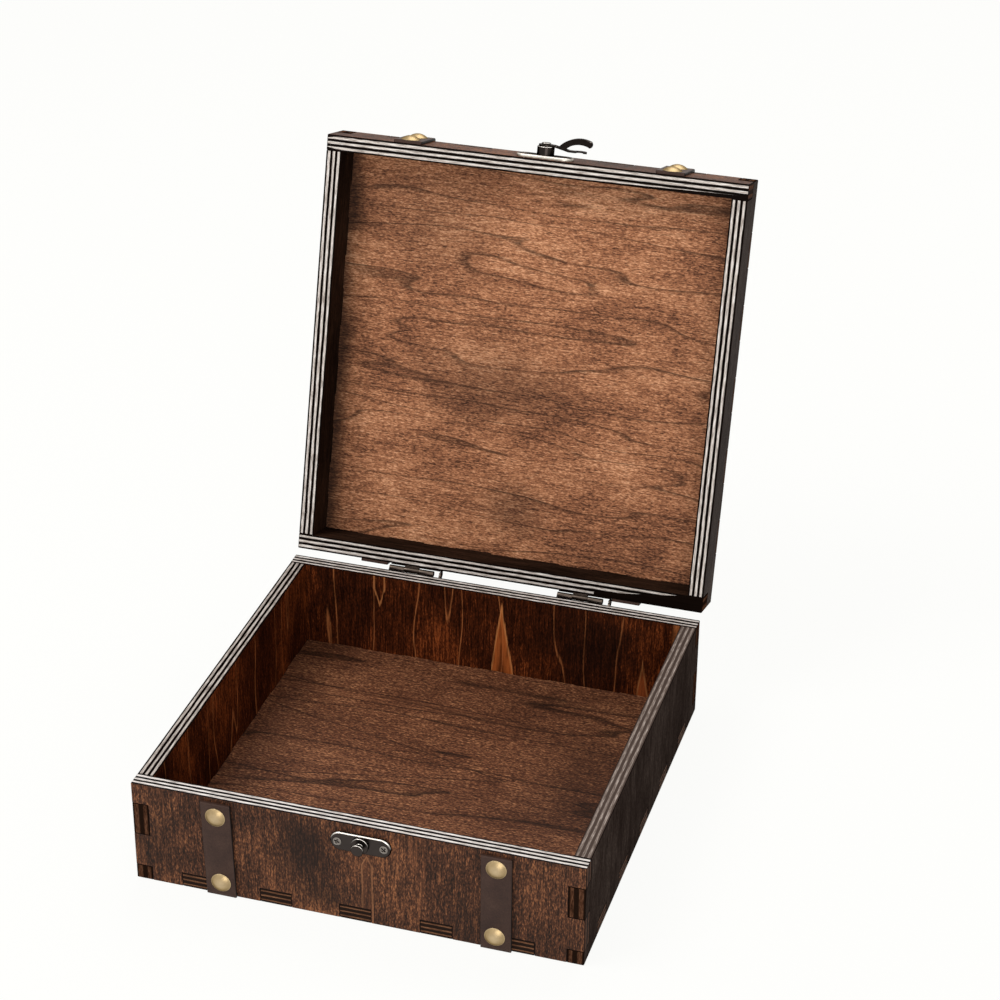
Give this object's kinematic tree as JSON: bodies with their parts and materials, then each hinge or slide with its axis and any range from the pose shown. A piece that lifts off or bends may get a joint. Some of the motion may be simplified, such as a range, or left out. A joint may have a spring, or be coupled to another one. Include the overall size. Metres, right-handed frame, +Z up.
{
  "type": "keepsake box",
  "caption": "Square finger-jointed wooden keepsake box with leather straps, domed rivets, a lid hinged against stops and a hook latch that swings onto a knob.",
  "frame": {"origin": "middle of the flat underside of the base", "axes": "+Z up, +X to the right of someone facing the front, +Y from the front to the hinged back"},
  "size_m": [0.254, 0.3631, 0.3208],
  "materials": {
    "stained_plywood": "dark walnut stain, satin",
    "stained_panel": "walnut stain, satin",
    "strap_leather": "dark brown, matt",
    "antique_brass": "antiqued, satin",
    "dark_gunmetal": "dark bronze plating",
    "hinge_bronze": "bronze plating",
    "blackened_steel": "darkened"
  },
  "bodies": {
    "base": {"base_front": "stained_plywood", "base_back": "stained_plywood", "base_left": "stained_plywood", "base_right": "stained_plywood", "base_bottom": "stained_panel", "base_strap_front_left": "strap_leather", "base_strap_front_right": "strap_leather", "base_strap_back_left": "strap_leather", "base_strap_back_right": "strap_leather", "base_rivets_front": "antique_brass", "base_rivets_back": "antique_brass", "catch_plate": "dark_gunmetal", "catch_knob": "dark_gunmetal", "catch_screws": "blackened_steel", "hinge_left_base_leaf": "hinge_bronze", "hinge_right_base_leaf": "hinge_bronze", "hinge_left_pin": "hinge_bronze", "hinge_right_pin": "hinge_bronze", "hinge_base_screws": "hinge_bronze"},
    "lid": {"lid_front": "stained_plywood", "lid_back": "stained_plywood", "lid_left": "stained_plywood", "lid_right": "stained_plywood", "lid_panel": "stained_panel", "lid_strap_left": "strap_leather", "lid_strap_right": "strap_leather", "lid_rivets_front": "antique_brass", "lid_rivets_back": "antique_brass", "hinge_left_lid_leaf": "hinge_bronze", "hinge_right_lid_leaf": "hinge_bronze", "hinge_lid_screws": "hinge_bronze", "latch_plate": "dark_gunmetal", "latch_post": "dark_gunmetal", "latch_screws": "blackened_steel"},
    "hook": {"latch_hook": "dark_gunmetal"}
  },
  "joints": [
    {"name": "lid_hinge", "type": "hinge", "parent": "base", "child": "lid", "pos_m": [0, 0.1297, 0.0632], "axis": [1, 0, 0], "range_deg": [0, 106.1]},
    {"name": "hook_swing", "type": "hinge", "parent": "lid", "child": "hook", "pos_m": [0.0042, 0.21111, 0.31209], "axis": [0, 0.2773, 0.9608], "range_deg": [-90, 60]}
  ]
}
